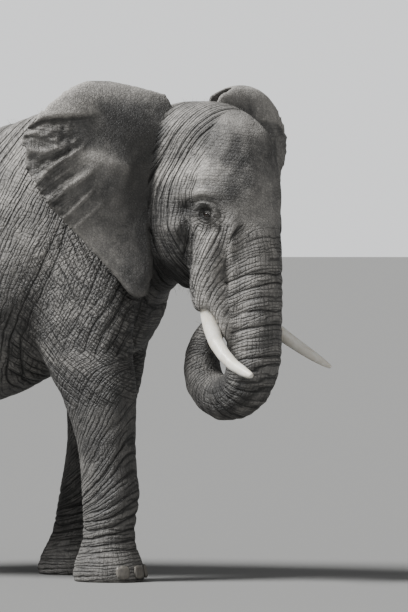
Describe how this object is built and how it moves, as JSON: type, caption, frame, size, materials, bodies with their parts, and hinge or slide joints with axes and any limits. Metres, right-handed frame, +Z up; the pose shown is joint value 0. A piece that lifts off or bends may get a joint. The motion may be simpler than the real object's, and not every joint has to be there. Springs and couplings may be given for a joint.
{
  "type": "african elephant",
  "caption": "Life-size still model of an African savanna elephant, walking stance, head turned a little, ears out, trunk curled back up to the mouth.",
  "frame": {"origin": "on the floor, under the middle of the model's bounding box", "axes": "+X the way the animal faces, +Y its left side, +Z up"},
  "size_m": [3.81, 1.8212, 2.9017],
  "materials": {
    "skin": "dry, creased grey hide with pale dust",
    "ivory": "smooth, worn, slightly yellow",
    "nail": "dull horn",
    "eye": "wet and glossy",
    "tail_hair": "coarse black hair"
  },
  "bodies": {
    "root": {"ear_left": "skin", "ear_right": "skin", "eye_left": "eye", "eye_right": "eye", "foot_fore_left": "skin", "foot_fore_right": "skin", "foot_hind_left": "skin", "foot_hind_right": "skin", "head": "skin", "jaw": "skin", "leg_fore_left": "skin", "leg_fore_right": "skin", "leg_hind_left": "skin", "leg_hind_right": "skin", "nail_fore_left_1": "nail", "nail_fore_left_2": "nail", "nail_fore_left_3": "nail", "nail_fore_left_4": "nail", "nail_fore_right_1": "nail", "nail_fore_right_2": "nail", "nail_fore_right_3": "nail", "nail_fore_right_4": "nail", "nail_hind_left_1": "nail", "nail_hind_left_2": "nail", "nail_hind_left_3": "nail", "nail_hind_right_1": "nail", "nail_hind_right_2": "nail", "nail_hind_right_3": "nail", "neck": "skin", "tail": "skin", "tail_tuft": "tail_hair", "torso": "skin", "trunk_bend": "skin", "trunk_curl": "skin", "trunk_middle": "skin", "trunk_tip": "skin", "trunk_upper": "skin", "tusk_left": "ivory", "tusk_right": "ivory"}
  },
  "joints": []
}
